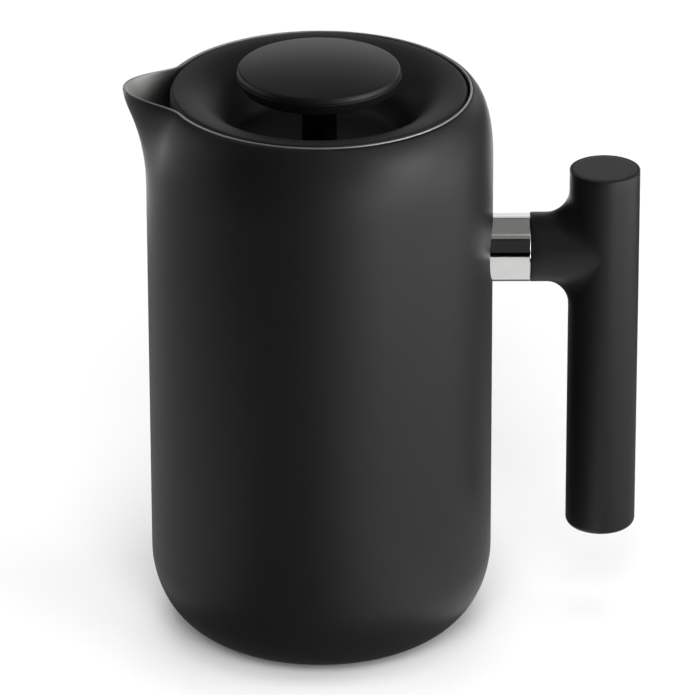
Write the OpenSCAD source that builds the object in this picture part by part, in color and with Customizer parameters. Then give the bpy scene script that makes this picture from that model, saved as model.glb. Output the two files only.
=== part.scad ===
// Double-walled french press: a carafe with a T-shaped handle, a lift-off lid and a plunger.
// Origin: on the body's axis, on the surface that the press stands on.
// +Z is up, the handle is on +X and the spout is on -X. All lengths are in millimetres.

/* [Body] */
// Outer diameter of the body
body_d = 102; // [100:1:104]
// Height of the rim above the table
rim_h = 171.5; // [160:0.5:180]
// Inside diameter of the steel liner
liner_d = 88.2; // [87.8:0.1:88.6]
// Wall of the steel liner
liner_wall = 0.7; // [0.5:0.1:0.8]
// Wall of the outer shell, measured level
shell_wall = 0.8; // [0.6:0.1:0.9]
// Width of the rounded bottom corner
corner_w = 18; // [14:1:18]
// Height of the rounded bottom corner
corner_h = 24; // [16:1:26]
// Height of the liner's underside above the table
liner_floor = 12; // [10:1:20]

/* [Spout] */
// How far the spout's tip stands out past the round rim
spout_reach = 12.5; // [8:0.5:13]
// Half of the angle that the spout takes up
spout_half_angle = 25; // [20:1:30]
// Depth below the rim at which the shell starts to bulge out
spout_depth = 33; // [28:1:36]
// How much the spout's tip rises above the rim
spout_rise = 0.9; // [0:0.1:1.5]

/* [Handle] */
// Diameter of the upright grip
grip_d = 20.8; // [20.8:0.1:21.4]
// Diameter of the grip's stub
stub_d = 20.6; // [20.2:0.1:20.7]
// Distance from the body's axis to the grip's axis
grip_x = 83.8; // [82:0.2:86]
// Height of the grip's top below the rim
grip_top_drop = 25.9; // [22:0.1:28]
// Height of the stub's axis below the rim
stub_drop = 50.8; // [49:0.1:54]
// Height of the grip's bottom below the rim
grip_bottom_drop = 141.3; // [110:0.1:145]
// Radius of the fillet between the stub and the grip
grip_fillet = 8; // [6:0.5:8]
// Diameter of the steel ferrule
ferrule_d = 20.5; // [20:0.1:20.6]
// Distance from the body's axis to the end of the ferrule
ferrule_end = 62; // [61:0.2:63]

/* [Lid and knob] */
// Outer diameter of the lid
lid_d = 87.2; // [86.8:0.1:87.4]
// Radius of the lid's rolled mouth
mouth_r = 16; // [15:0.5:16]
// Depth of the lid's floor below the rim
dish_depth = 16.5; // [16:0.1:17]
// Diameter of the knob
knob_d = 48.2; // [40:0.2:50]
// Height of the middle of the knob's top above the rim
knob_top = 8.9; // [8:0.1:10]
// Rise of the knob's dome from its shoulder to its middle
knob_dome = 2.4; // [1.6:0.1:2.8]
// Height of the knob's side and rounded underside, below its edge
knob_side_h = 4.8; // [4.4:0.1:5.4]
// Diameter of the knob's neck
neck_d = 10.3; // [9.8:0.1:11]

/* [Plunger] */
// Diameter of the rod
rod_d = 5.8; // [5.4:0.1:6]
// Radial clearance between the rod and its bush
rod_clearance = 0.05; // [0.02:0.01:0.1]
// Outer diameter of the filter
filter_d = 87.6; // [87:0.1:87.6]
// Height of the filter's lowest point when the plunger is down
filter_rest = 30; // [24:1:45]
// Number of strainer slots in the lid's skirt
slot_count = 40; // [20:4:44]

/* [Hidden] */
$fn = 96;

// Gap between pieces that are pressed, glued, welded or screwed together
fit_gap = 0.05;
// How far a cut runs past the face that it starts from
overrun = 1;

body_r = body_d / 2;
liner_r = liner_d / 2;
liner_out_r = liner_r + liner_wall;
liner_corner = 6;
foot_h = 0.7;
base_opening_r = body_r - corner_w - 2;
plate_z = 1.2;
plate_t = 1;
vacuum_plug_r = 4;
vacuum_plug_t = 2;
pad_r = base_opening_r - 0.6;
// Two shallow round grooves under the pad, in from its edge
pad_groove_insets = [5, 9];
pad_groove_w = 1.2;
pad_groove_h = 0.4;

// The shoulder is one cubic curve, from the rim down to the straight side
rim_step = 0.35;
rim_edge_w = 0.45;
shoulder_h = 22;
shoulder_start_angle = 35.5;
shoulder_start_pull = 6.6;
shoulder_end_pull = 7.5;
shoulder_start = [liner_out_r + fit_gap, 0];
shoulder_points = [
    shoulder_start,
    shoulder_start + shoulder_start_pull * [cos(shoulder_start_angle), -sin(shoulder_start_angle)],
    [body_r, shoulder_end_pull - shoulder_h],
    [body_r, -shoulder_h]
];

// The shell narrows to the spout's foot faster than the liner's pouring channel does
shell_flare_power = 3.1;
channel_depth = 20;
channel_power = 1.3;

stub_z = rim_h - stub_drop;
grip_r = grip_d / 2;
stub_r = stub_d / 2;
stub_len = grip_x - ferrule_end;
grip_top = rim_h - grip_top_drop;
grip_bottom = rim_h - grip_bottom_drop;
grip_edge = 2;
grip_chamfer = 0.3;
grip_bore_r = 6.2;
grip_floor = 7;
cap_recess_r = grip_r - 0.7;
cap_t = 2.2;
cap_plug_h = 3;
ferrule_r = ferrule_d / 2;
ferrule_wall = 1.6;
boss_r = ferrule_r - ferrule_wall - 0.1;
spigot_r = 6;
spigot_len = 6;
screw_r = 2.5;
screw_start_x = body_r + 4;
screw_head_r = 4.25;
screw_head_h = 5;
screw_socket_d = 4.6;
screw_socket_h = 2.5;
screw_seat_x = grip_x - 8.8;
washer_r = 5;
washer_t = 1;
washer_gap = 0.2;
access_r = 4.6;
access_plug_t = 3.5;

lid_r = lid_d / 2;
lid_t = 1.8;
lid_crest_r = lid_r - 1.2;
lid_edge_drop = 2.2;
cover_skirt_drop = 7;
mouth_sweep = 75;
dish_fillet_w = 5.5;
dish_z = rim_h - dish_depth;
dish_floor_r = lid_crest_r - mouth_r * sin(mouth_sweep) - dish_fillet_w;
skirt_in_r = lid_r - 3.6;
skirt_out_r = lid_r - 0.7;
skirt_top = rim_h - 4.2;
skirt_bottom = rim_h - 26;
slot_w = 3;
slot_h = 10;
slot_bottom = rim_h - 19;
groove_r = skirt_out_r - 1.4;
groove_low = skirt_bottom + 1.4;
groove_high = skirt_bottom + 5;
seal_gap = 0.3;
bush_r = 5;
bush_flange_r = 8.5;
bush_flange_t = 2;
cover_under_z = dish_z - lid_t;
retainer_r = 16;
retainer_t = 2;
retainer_bore_r = rod_d / 2 + 0.4;
retainer_floor = 0.4;
retainer_top = cover_under_z - bush_flange_t;
screw_circle_r = 12;
screw_boss_r = 3.2;
small_screw_r = 1.25;
small_screw_hole_r = 1.4;
small_head_r = 2.4;
small_head_h = 1.6;
small_socket_d = 2;
small_socket_h = 0.9;
small_screw_bite = 1.1;
wiper_r = 4.4;

rod_r = rod_d / 2;
rod_tip = 0.4;
knob_r = knob_d / 2;
neck_r = neck_d / 2;
neck_bottom = dish_z + 0.2;
knob_z = rim_h + knob_top;
knob_shoulder_w = 1;
knob_shoulder_h = 1.85;
knob_edge_z = knob_z - knob_dome - knob_shoulder_h;
knob_under_z = knob_edge_z - knob_side_h;
knob_floor_t = 1.55;
knob_floor_z = knob_under_z + knob_floor_t;
knob_lip = 0.6;
knob_step = 0.1;
insert_r = 4;
insert_high = knob_edge_z - 2 * knob_lip;
insert_low = insert_high - 9.9;
rod_top = insert_high - 0.6;
rod_low = filter_rest + 1;

filter_r = filter_d / 2;
nut_d = 14;
nut_h = 5.2;
cross_z = filter_rest + nut_h;
cross_t = 1.2;
cross_r = filter_r - 2.8;
mesh_z = cross_z + cross_t + 0.1;
mesh_t = 0.45;
mesh_lip = 4;
spring_r = 1.3;
spring_z = mesh_z + mesh_t + spring_r + 0.1;
top_plate_z = spring_z + spring_r;
top_plate_t = 1;
top_plate_r = filter_r - 3.3;
top_plate_lip_h = 2.4;
top_plate_lip_w = 0.8;
collar_z = top_plate_z + top_plate_t;
collar_h = 3;
collar_r = 7;

// Rings of round holes: radius of the ring, number of holes, diameter of a hole
top_plate_holes = [[16, 10, 5], [25, 16, 5], [34, 22, 5]];
cross_holes = [[18, 6, 13], [33, 18, 9]];

// Columns around the body, clockwise seen from above and closer together across the spout
body_angles = concat([for (a = [150:-6:-150]) a], [for (a = [-153:-3:-207]) a]);

// Share of the spout's reach at an angle around the body, 1 at the tip and 0 away from the spout
function spout_share(angle) =
    let (off = abs(180 - abs(angle)))
    off < spout_half_angle ? pow(cos(90 * off / spout_half_angle), 2) : 0;

// How far the shell and the channel reach out at a depth below the rim
function shell_flare(drop) = spout_reach * pow(max(0, 1 - drop / spout_depth), shell_flare_power);
function channel_flare(drop) = spout_reach * pow(max(0, 1 - drop / channel_depth), channel_power);

function bezier(p, t) =
    pow(1 - t, 3) * p[0] + 3 * pow(1 - t, 2) * t * p[1] + 3 * (1 - t) * t * t * p[2] + pow(t, 3) * p[3];

function reversed(list) = [for (i = [len(list) - 1:-1:0]) list[i]];

// Round corner from one direction to another: centre, radius along r, radius along z
function corner(centre, rx, rz, from, to, steps) =
    [for (i = [0:steps]) let (a = from + (to - from) * i / steps) centre + [rx * cos(a), rz * sin(a)]];

// A point of a body wall: radius, height, the spout's reach there, and the lift of the rim
function wall_point(angle, r, z, reach, lift) =
    let (share = spout_share(angle), full = r + reach * share)
    [full * cos(angle), full * sin(angle), z + lift * share];

// Two triangles for each cell of a grid; a point's index is column * rows + row.
// Columns run clockwise seen from above, and rows run down an outside and up an inside.
function grid_faces(cols, rows, wrap_cols, wrap_rows) =
    let (
        last_c = wrap_cols ? cols - 1 : cols - 2,
        last_r = wrap_rows ? rows - 1 : rows - 2
    )
    [for (c = [0:last_c], r = [0:last_r], half = [0, 1])
        let (
            a = c * rows + r,
            b = c * rows + (r + 1) % rows,
            d = ((c + 1) % cols) * rows + r,
            e = ((c + 1) % cols) * rows + (r + 1) % rows
        )
        half == 0 ? [a, b, d] : [b, e, d]];

// Steps down the shoulder, then down the straight side to the spout's foot
shoulder_steps = 8;
side_steps = 3;
corner_steps = 7;
shoulder_curve = [for (i = [1:shoulder_steps]) bezier(shoulder_points, i / shoulder_steps)];
shell_upper = concat(
    [[shoulder_start[0] + rim_edge_w, -rim_step]],
    shoulder_curve,
    [for (i = [1:side_steps]) [body_r, -shoulder_h - (spout_depth - shoulder_h) * i / side_steps]]
);
shell_corner_centre = [body_r - corner_w, foot_h + corner_h];

// Only the topmost points of a wall rise towards the spout's tip
function rim_lift(z) = z > rim_h - overrun ? spout_rise : 0;

module outer_shell() {
    // Outside from the rim to the base opening, then back up on the inside
    outside = concat(
        [for (p = shell_upper) [p[0], rim_h + p[1], shell_flare(-p[1])]],
        [for (p = corner(shell_corner_centre, corner_w, corner_h, 0, -90, corner_steps)) [p[0], p[1], 0]],
        [[base_opening_r, foot_h, 0]]
    );
    in_w = corner_w - shell_wall;
    in_h = corner_h - shell_wall;
    inside = concat(
        [[base_opening_r, foot_h + shell_wall, 0]],
        [for (p = corner(shell_corner_centre, in_w, in_h, -90, 0, corner_steps)) [p[0], p[1], 0]],
        [for (i = [len(shell_upper) - 1:-1:1])
            let (p = shell_upper[i])
            [p[0] - shell_wall, rim_h + p[1], shell_flare(-p[1])]],
        [[shoulder_start[0], rim_h - rim_step, channel_flare(rim_step)]]
    );
    wall = concat(outside, inside);
    points = [for (a = body_angles, w = wall) wall_point(a, w[0], w[1], w[2], rim_lift(w[1]))];
    color("#232324")
        polyhedron(points, grid_faces(len(body_angles), len(wall), true, true), convexity = 6);
}

module inner_liner() {
    // Down the outside from the rim to the open foot, then back up on the inside
    side_steps = 8;
    corner_steps = 4;
    side = [for (i = [0:side_steps]) channel_depth * i / side_steps];
    centre = [liner_out_r - liner_corner, liner_floor + liner_corner];
    in_r = liner_corner - liner_wall;
    wall = concat(
        [for (drop = side) [liner_out_r, rim_h - drop, channel_flare(drop)]],
        [for (p = corner(centre, liner_corner, liner_corner, 0, -90, corner_steps)) [p[0], p[1], 0]],
        [for (p = corner(centre, in_r, in_r, -90, 0, corner_steps)) [p[0], p[1], 0]],
        [for (drop = reversed(side)) [liner_r, rim_h - drop, channel_flare(drop)]]
    );
    points = [for (a = body_angles, w = wall) wall_point(a, w[0], w[1], w[2], rim_lift(w[1]))];
    color("#b9b9b6")
        polyhedron(points, grid_faces(len(body_angles), len(wall), true, true), convexity = 6);
}

// The liner's floor, a disc welded into the open foot
module liner_base() {
    color("#b9b9b6")
        translate([0, 0, liner_floor])
            cylinder(h = liner_wall, r = liner_out_r - liner_corner - fit_gap);
}

module base_plate() {
    color("#8f8f8d")
        translate([0, 0, plate_z])
            cylinder(h = plate_t, r = base_opening_r - fit_gap);
}

module vacuum_plug() {
    color("#a8a8a4")
        translate([0, 0, plate_z + plate_t])
            cylinder(h = vacuum_plug_t, r = vacuum_plug_r);
}

module base_pad() {
    color("#1b1b1b")
        difference() {
            cylinder(h = plate_z, r = pad_r);
            for (inset = pad_groove_insets)
                translate([0, 0, -overrun])
                    difference() {
                        cylinder(h = overrun + pad_groove_h, r = pad_r - inset);
                        translate([0, 0, -overrun])
                            cylinder(h = pad_groove_h + 3 * overrun, r = pad_r - inset - pad_groove_w);
                    }
        }
}

// A cylinder along +X from one distance to another, on the stub's axis
module along_x(from, to, r) {
    translate([from, 0, stub_z])
        rotate([0, 90, 0])
            cylinder(h = to - from, r = r);
}

// Level pieces start inside the body's outline, and its round side then trims them
level_start = body_r - 4;
module body_outline() {
    cylinder(h = rim_h, r = body_r + fit_gap);
}

module handle_boss() {
    color("#8f8f8d")
        difference() {
            union() {
                along_x(level_start, ferrule_end, boss_r);
                along_x(ferrule_end - overrun, ferrule_end + spigot_len, spigot_r);
            }
            body_outline();
            along_x(screw_start_x - overrun, ferrule_end + spigot_len + overrun, screw_r + fit_gap);
        }
}

module handle_ferrule() {
    color("#d8d8d6")
        difference() {
            along_x(level_start, ferrule_end, ferrule_r);
            body_outline();
            along_x(level_start - overrun, ferrule_end + overrun, ferrule_r - ferrule_wall);
        }
}

// The grip is worked out about the crossing of its axis and the stub's axis, the stub pointing to -X.
// A ball of the fillet's radius rolls in the corner; its centre is known for each angle around the stub.
ball_to_stub = stub_r + grip_fillet;
ball_to_grip = grip_r + grip_fillet;
fillet_steps = 6;
front_steps = 16;
back_steps = 14;
edge_steps = 4;

// The grip's outline above and below the fillet, for a unit direction from its axis
function top_rows(d) = [
    [d[0] * (grip_r - grip_chamfer), d[1] * (grip_r - grip_chamfer), grip_top - stub_z],
    [d[0] * grip_r, d[1] * grip_r, grip_top - stub_z - grip_chamfer]
];
function bottom_rows(d) = [for (i = [0:edge_steps])
    let (a = 90 * i / edge_steps, r = grip_r - grip_edge * (1 - cos(a)))
    [d[0] * r, d[1] * r, grip_bottom - stub_z + grip_edge * (1 - sin(a))]];

// The fillet's section at one angle around the stub, from the grip to the stub's end
function fillet_rows(lean, side) =
    let (
        cy = ball_to_stub * sin(lean),
        cz = side * ball_to_stub * cos(lean),
        cx = -sqrt(pow(ball_to_grip, 2) - cy * cy),
        centre = [cx, cy, cz],
        to_grip = -[cx, cy, 0] / ball_to_grip,
        to_stub = -[0, cy, cz] / ball_to_stub,
        turn = acos(to_grip * to_stub),
        touch = centre + grip_fillet * to_stub
    )
    concat(
        [for (i = [0:fillet_steps]) let (s = i / fillet_steps)
            centre + grip_fillet * (sin((1 - s) * turn) * to_grip + sin(s * turn) * to_stub) / sin(turn)],
        [[-stub_len, touch[1], touch[2]]]
    );

function front_column(lean) =
    let (
        upper = fillet_rows(lean, 1),
        lower = reversed(fillet_rows(lean, -1)),
        d = [upper[0][0], upper[0][1]] / grip_r
    )
    concat(top_rows(d), upper, lower, bottom_rows(d));

function back_column(angle) =
    let (d = [cos(angle), sin(angle)])
    concat(top_rows(d), [[d[0] * grip_r, d[1] * grip_r, 0]], bottom_rows(d));

// The first back column stands where the front ends
function back_columns() =
    let (
        side = fillet_rows(90, 1)[0],
        d = [side[0], side[1]] / grip_r,
        edge = atan2(side[1], side[0])
    )
    concat(
        [concat(top_rows(d), [side], bottom_rows(d))],
        [for (i = [1:back_steps - 1]) back_column(edge * (1 - 2 * i / back_steps))],
        [concat(top_rows([d[0], -d[1]]), [[side[0], -side[1], 0]], bottom_rows([d[0], -d[1]]))]
    );

module grip_outside() {
    front = [for (i = [0:front_steps]) front_column(-90 + 180 * i / front_steps)];
    back = back_columns();
    front_rows = len(front[0]);
    back_rows = len(back[0]);
    back_start = len(front) * front_rows;
    points = concat([for (c = front, p = c) p], [for (c = back, p = c) p]);
    shifted = [for (f = grid_faces(len(back), back_rows, false, false)) [for (i = f) i + back_start]];
    top_ring = concat(
        [for (c = [0:len(front) - 1]) c * front_rows],
        [for (c = [1:len(back) - 2]) back_start + c * back_rows]
    );
    bottom_ring = concat(
        [for (c = [0:len(front) - 1]) c * front_rows + front_rows - 1],
        [for (c = [1:len(back) - 2]) back_start + c * back_rows + back_rows - 1]
    );
    polyhedron(
        points,
        concat(
            grid_faces(len(front), front_rows, false, false),
            shifted,
            [top_ring],
            [reversed(bottom_ring)]
        ),
        convexity = 6
    );
}

module handle_grip() {
    color("#222223")
        difference() {
            translate([grip_x, 0, stub_z])
                grip_outside();
            translate([grip_x, 0, grip_bottom + grip_floor])
                cylinder(h = rim_h, r = grip_bore_r);
            translate([grip_x, 0, grip_top - cap_t])
                cylinder(h = 2 * cap_t, r = cap_recess_r);
            along_x(ferrule_end - overrun, ferrule_end + spigot_len + washer_gap, spigot_r + fit_gap);
            along_x(ferrule_end, grip_x, screw_r + washer_gap);
            along_x(screw_seat_x, grip_x, washer_r + washer_gap);
            along_x(grip_x, grip_x + grip_d, access_r);
        }
}

module grip_cap() {
    color("#262627")
        translate([grip_x, 0, grip_top - cap_t])
            union() {
                cylinder(h = cap_t, r = cap_recess_r - fit_gap);
                translate([0, 0, -cap_plug_h])
                    cylinder(h = cap_plug_h + cap_t / 2, r = grip_bore_r - fit_gap);
            }
}

module handle_screw() {
    head_x = screw_seat_x + washer_t;
    color("#7c7c7a")
        difference() {
            union() {
                along_x(screw_start_x, head_x + overrun, screw_r);
                along_x(head_x, head_x + screw_head_h, screw_head_r);
            }
            translate([head_x + screw_head_h - screw_socket_h, 0, stub_z])
                rotate([0, 90, 0])
                    cylinder(h = screw_socket_h + overrun, d = screw_socket_d, $fn = 6);
        }
}

module handle_washer() {
    color("#9a9a97")
        difference() {
            along_x(screw_seat_x, screw_seat_x + washer_t, washer_r);
            along_x(screw_seat_x - overrun, screw_seat_x + washer_t + overrun, screw_r + fit_gap);
        }
}

// The plug in the grip's back follows the grip's round side
module access_plug() {
    color("#222223")
        intersection() {
            along_x(grip_x + grip_r - access_plug_t, grip_x + grip_d, access_r - fit_gap);
            translate([grip_x, 0, stub_z - grip_r])
                cylinder(h = grip_d, r = grip_r - fit_gap);
        }
}

module lid_seal() {
    h = groove_high - groove_low - 2 * seal_gap;
    color("#2b2b2b")
        translate([0, 0, groove_low + seal_gap])
            difference() {
                cylinder(h = h, r = liner_r - seal_gap);
                translate([0, 0, -overrun])
                    cylinder(h = h + 2 * overrun, r = groove_r + seal_gap);
            }
}

// Copies its children three times, on the circle of the retainer's screws
module at_screws() {
    for (a = [0:120:240])
        rotate(a)
            translate([screw_circle_r, 0, 0])
                children();
}

module lid_cover() {
    mouth = [lid_crest_r, rim_h - mouth_r];
    mouth_end = mouth + mouth_r * [-sin(mouth_sweep), cos(mouth_sweep)];
    inner_mouth_r = mouth_r - lid_t;
    inner_end = mouth + inner_mouth_r * [-sin(mouth_sweep), cos(mouth_sweep)];
    wall_in_r = lid_r - lid_t;
    hub_r = bush_r + fit_gap;
    mouth_steps = 14;
    // The underside's mouth starts where it meets the inside of the cover's own skirt
    start = asin((lid_crest_r - wall_in_r) / inner_mouth_r);
    // The bowl runs out to the flat floor in two short slopes
    bowl_step = 1.6;
    bowl_rise = 1;
    bowl = [
        [mouth_end[0] - bowl_step, dish_z + bowl_rise],
        [mouth_end[0] - 2 * bowl_step, dish_z + bowl_rise / 5],
        [dish_floor_r, dish_z]
    ];
    profile = concat(
        [[wall_in_r, rim_h - cover_skirt_drop], [lid_r, rim_h - cover_skirt_drop]],
        corner([lid_crest_r, rim_h - lid_edge_drop], lid_r - lid_crest_r, lid_edge_drop, 0, 90, 6),
        [for (i = [1:mouth_steps])
            let (a = 90 + mouth_sweep * i / mouth_steps)
            mouth + mouth_r * [cos(a), sin(a)]],
        bowl,
        [[hub_r, dish_z], [hub_r, cover_under_z], [dish_floor_r - lid_t / 2, cover_under_z]],
        [[inner_end[0] - bowl_rise, dish_z - bowl_rise / 2]],
        [for (i = [mouth_steps:-1:0])
            let (a = 90 + start + (mouth_sweep - start) * i / mouth_steps)
            mouth + inner_mouth_r * [cos(a), sin(a)]]
    );
    color("#1f1f20")
        difference() {
            union() {
                rotate_extrude()
                    polygon(profile);
                at_screws()
                    translate([0, 0, retainer_top])
                        cylinder(h = bush_flange_t + lid_t / 2, r = screw_boss_r, $fn = 32);
            }
            at_screws()
                translate([0, 0, retainer_top - overrun])
                    cylinder(h = overrun + bush_flange_t + small_screw_bite, r = small_screw_r, $fn = 24);
        }
}

module strainer_skirt() {
    // The skirt's narrow top fits inside the cover's own skirt
    neck_out_r = lid_r - lid_t - fit_gap;
    shoulder_z = rim_h - cover_skirt_drop - fit_gap;
    profile = [
        [skirt_in_r, skirt_bottom], [skirt_out_r, skirt_bottom],
        [skirt_out_r, groove_low], [groove_r, groove_low],
        [groove_r, groove_high], [skirt_out_r, groove_high],
        [skirt_out_r, shoulder_z], [neck_out_r, shoulder_z],
        [neck_out_r, skirt_top], [skirt_in_r, skirt_top]
    ];
    color("#242425")
        difference() {
            rotate_extrude()
                polygon(profile);
            for (i = [0:slot_count - 1])
                rotate(360 * i / slot_count)
                    translate([skirt_in_r - overrun, -slot_w / 2, slot_bottom])
                        cube([skirt_out_r - skirt_in_r + 2 * overrun, slot_w, slot_h]);
        }
}

module rod_bush() {
    color("#c9c9c5")
        difference() {
            union() {
                translate([0, 0, retainer_top])
                    cylinder(h = bush_flange_t, r = bush_flange_r);
                translate([0, 0, cover_under_z - overrun])
                    cylinder(h = overrun + lid_t - 2 * fit_gap, r = bush_r);
            }
            cylinder(h = rim_h, r = rod_r + rod_clearance);
        }
}

module rod_wiper() {
    h = retainer_t - retainer_floor;
    color("#2b2b2b")
        translate([0, 0, retainer_top - h])
            difference() {
                cylinder(h = h, r = wiper_r - fit_gap);
                translate([0, 0, -overrun])
                    cylinder(h = h + 2 * overrun, r = rod_r + rod_clearance);
            }
}

module bush_retainer() {
    color("#29292a")
        translate([0, 0, retainer_top - retainer_t])
            difference() {
                cylinder(h = retainer_t, r = retainer_r);
                translate([0, 0, -overrun])
                    cylinder(h = retainer_t + 2 * overrun, r = retainer_bore_r);
                translate([0, 0, retainer_floor])
                    cylinder(h = retainer_t, r = wiper_r);
                at_screws()
                    translate([0, 0, -overrun])
                        cylinder(h = retainer_t + 2 * overrun, r = small_screw_hole_r, $fn = 24);
            }
}

module retainer_screws() {
    shank_h = small_head_h + retainer_t + bush_flange_t + small_screw_bite - 2 * fit_gap;
    color("#9a9a97")
        translate([0, 0, retainer_top - retainer_t - small_head_h])
            at_screws()
                difference() {
                    union() {
                        cylinder(h = small_head_h, r = small_head_r, $fn = 32);
                        cylinder(h = shank_h, r = small_screw_r - fit_gap, $fn = 24);
                    }
                    translate([0, 0, -overrun])
                        cylinder(h = overrun + small_socket_h, d = small_socket_d, $fn = 6);
                }
}

// A shallow round dome that runs smoothly into a steep shoulder, with a thin lip below it
module knob_cap() {
    cap_r = knob_r - knob_step;
    // Angle on the shoulder's ellipse at which it has the slope of the dome's edge
    join = atan(knob_shoulder_h * knob_r / (2 * knob_dome * knob_shoulder_w));
    dome_r = cap_r - knob_shoulder_w * (1 - cos(join));
    shoulder_top = knob_edge_z + knob_shoulder_h * sin(join);
    pocket_r = insert_r + fit_gap;
    boss_out_r = 8;
    ceiling_z = knob_edge_z - knob_lip;
    dome_steps = 6;
    profile = concat(
        [for (i = [0:dome_steps - 1])
            let (t = i / dome_steps)
            [dome_r * t, shoulder_top + (knob_z - shoulder_top) * (1 - t * t)]],
        corner([cap_r - knob_shoulder_w, knob_edge_z], knob_shoulder_w, knob_shoulder_h, join, 0, 6),
        [[knob_r - 2 * knob_lip, knob_edge_z], [knob_r - 4 * knob_lip, ceiling_z]],
        [[boss_out_r, ceiling_z], [boss_out_r, knob_floor_z], [pocket_r, knob_floor_z]],
        [[pocket_r, insert_high + fit_gap], [0, insert_high + fit_gap]]
    );
    color("#29292a")
        rotate_extrude()
            polygon(profile);
}

// The base closes the cap from below, and its rounded edge stands a little proud of the cap
module knob_base() {
    hub_r = neck_r + fit_gap;
    // A rounded underside and a side that leans out to the edge
    edge_w = 6;
    edge_rise = 2.2;
    side_lean = 1.1;
    chamfer = 0.2;
    top_z = knob_edge_z - fit_gap;
    profile = concat(
        [[hub_r, knob_under_z], [knob_r - edge_w, knob_under_z]],
        corner([knob_r - edge_w, knob_under_z + edge_rise], edge_w - side_lean, edge_rise, -80, -10, 6),
        [[knob_r, top_z - 2 * chamfer], [knob_r - chamfer / 2, top_z - chamfer / 2]],
        [[knob_r - chamfer, top_z]],
        [[knob_r - 2 * knob_lip, top_z], [knob_r - 5 * knob_lip, knob_floor_z], [hub_r, knob_floor_z]]
    );
    color("#1d1d1e")
        rotate_extrude()
            polygon(profile);
}

module knob_neck() {
    color("#0d0d0d")
        difference() {
            translate([0, 0, neck_bottom])
                cylinder(h = knob_floor_z - neck_bottom, r = neck_r);
            cylinder(h = knob_z, r = rod_r + fit_gap);
            translate([0, 0, insert_low])
                cylinder(h = knob_z, r = insert_r + fit_gap);
        }
}

module knob_insert() {
    color("#b08d4a")
        difference() {
            translate([0, 0, insert_low])
                cylinder(h = insert_high - insert_low, r = insert_r);
            cylinder(h = rod_top + fit_gap, r = rod_r + fit_gap);
        }
}

module plunger_rod() {
    color("#c9c9c5")
        rotate_extrude()
            polygon([
                [0, rod_low], [rod_r - rod_tip, rod_low], [rod_r, rod_low + rod_tip],
                [rod_r, rod_top - rod_tip], [rod_r - rod_tip, rod_top], [0, rod_top]
            ]);
}

// The plates, the collar and the nut sit tight on the rod
module rod_hole() {
    cylinder(h = rim_h, r = rod_r + fit_gap);
}

// Rings of round holes right through a plate
module ring_holes(rings) {
    for (ring = rings, i = [0:ring[1] - 1])
        rotate(360 * i / ring[1])
            translate([ring[0], 0, 0])
                cylinder(h = rim_h, d = ring[2], $fn = 24);
}

module rod_collar() {
    color("#c9c9c5")
        difference() {
            translate([0, 0, collar_z])
                cylinder(h = collar_h, r = collar_r);
            rod_hole();
        }
}

module filter_top_plate() {
    color("#bdbdb9")
        difference() {
            translate([0, 0, top_plate_z - top_plate_lip_h])
                cylinder(h = top_plate_t + top_plate_lip_h, r = top_plate_r);
            translate([0, 0, top_plate_z - top_plate_lip_h - overrun])
                cylinder(h = top_plate_lip_h + overrun, r = top_plate_r - top_plate_lip_w);
            rod_hole();
            ring_holes(top_plate_holes);
        }
}

module filter_spring() {
    color("#b3b3af")
        translate([0, 0, spring_z])
            rotate_extrude()
                translate([filter_r - mesh_t - spring_r - fit_gap, 0])
                    circle(r = spring_r, $fn = 24);
}

module filter_mesh() {
    color("#a5a5a1")
        difference() {
            translate([0, 0, mesh_z])
                cylinder(h = mesh_lip, r = filter_r);
            translate([0, 0, mesh_z + mesh_t])
                cylinder(h = mesh_lip, r = filter_r - mesh_t);
            rod_hole();
        }
}

module cross_plate() {
    color("#bdbdb9")
        difference() {
            translate([0, 0, cross_z])
                cylinder(h = cross_t, r = cross_r);
            rod_hole();
            ring_holes(cross_holes);
        }
}

module filter_nut() {
    color("#c9c9c5")
        difference() {
            translate([0, 0, filter_rest])
                cylinder(h = nut_h, d = nut_d, $fn = 6);
            translate([0, 0, rod_low - fit_gap])
                cylinder(h = nut_h, r = rod_r + fit_gap);
        }
}

outer_shell();
inner_liner();
liner_base();
base_plate();
vacuum_plug();
base_pad();
handle_boss();
handle_ferrule();
handle_grip();
grip_cap();
handle_screw();
handle_washer();
access_plug();
lid_seal();
lid_cover();
strainer_skirt();
rod_bush();
rod_wiper();
bush_retainer();
retainer_screws();
knob_cap();
knob_base();
knob_neck();
knob_insert();
plunger_rod();
rod_collar();
filter_top_plate();
filter_spring();
filter_mesh();
cross_plate();
filter_nut();
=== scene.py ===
"""Looks of the french press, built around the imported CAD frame. Metres, +Z up, handle on +X."""

import math

import bmesh
import bpy
from mathutils import Matrix, Vector


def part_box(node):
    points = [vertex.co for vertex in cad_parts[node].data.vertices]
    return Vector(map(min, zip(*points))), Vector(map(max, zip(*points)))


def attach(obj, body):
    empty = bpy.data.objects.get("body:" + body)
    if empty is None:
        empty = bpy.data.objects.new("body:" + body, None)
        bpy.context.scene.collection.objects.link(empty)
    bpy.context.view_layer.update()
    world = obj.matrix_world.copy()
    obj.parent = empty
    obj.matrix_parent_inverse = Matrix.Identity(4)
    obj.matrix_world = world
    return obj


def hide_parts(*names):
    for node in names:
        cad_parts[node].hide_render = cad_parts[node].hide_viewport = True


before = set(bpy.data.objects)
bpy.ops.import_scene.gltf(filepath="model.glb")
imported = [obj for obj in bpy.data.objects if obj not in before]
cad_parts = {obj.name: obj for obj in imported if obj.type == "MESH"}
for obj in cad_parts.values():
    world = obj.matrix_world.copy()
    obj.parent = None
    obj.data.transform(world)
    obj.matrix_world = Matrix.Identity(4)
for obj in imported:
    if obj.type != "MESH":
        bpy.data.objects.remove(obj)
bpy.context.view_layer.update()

MM = 0.001

# ---------------------------------------------------------------- sizes, from the frame

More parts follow.
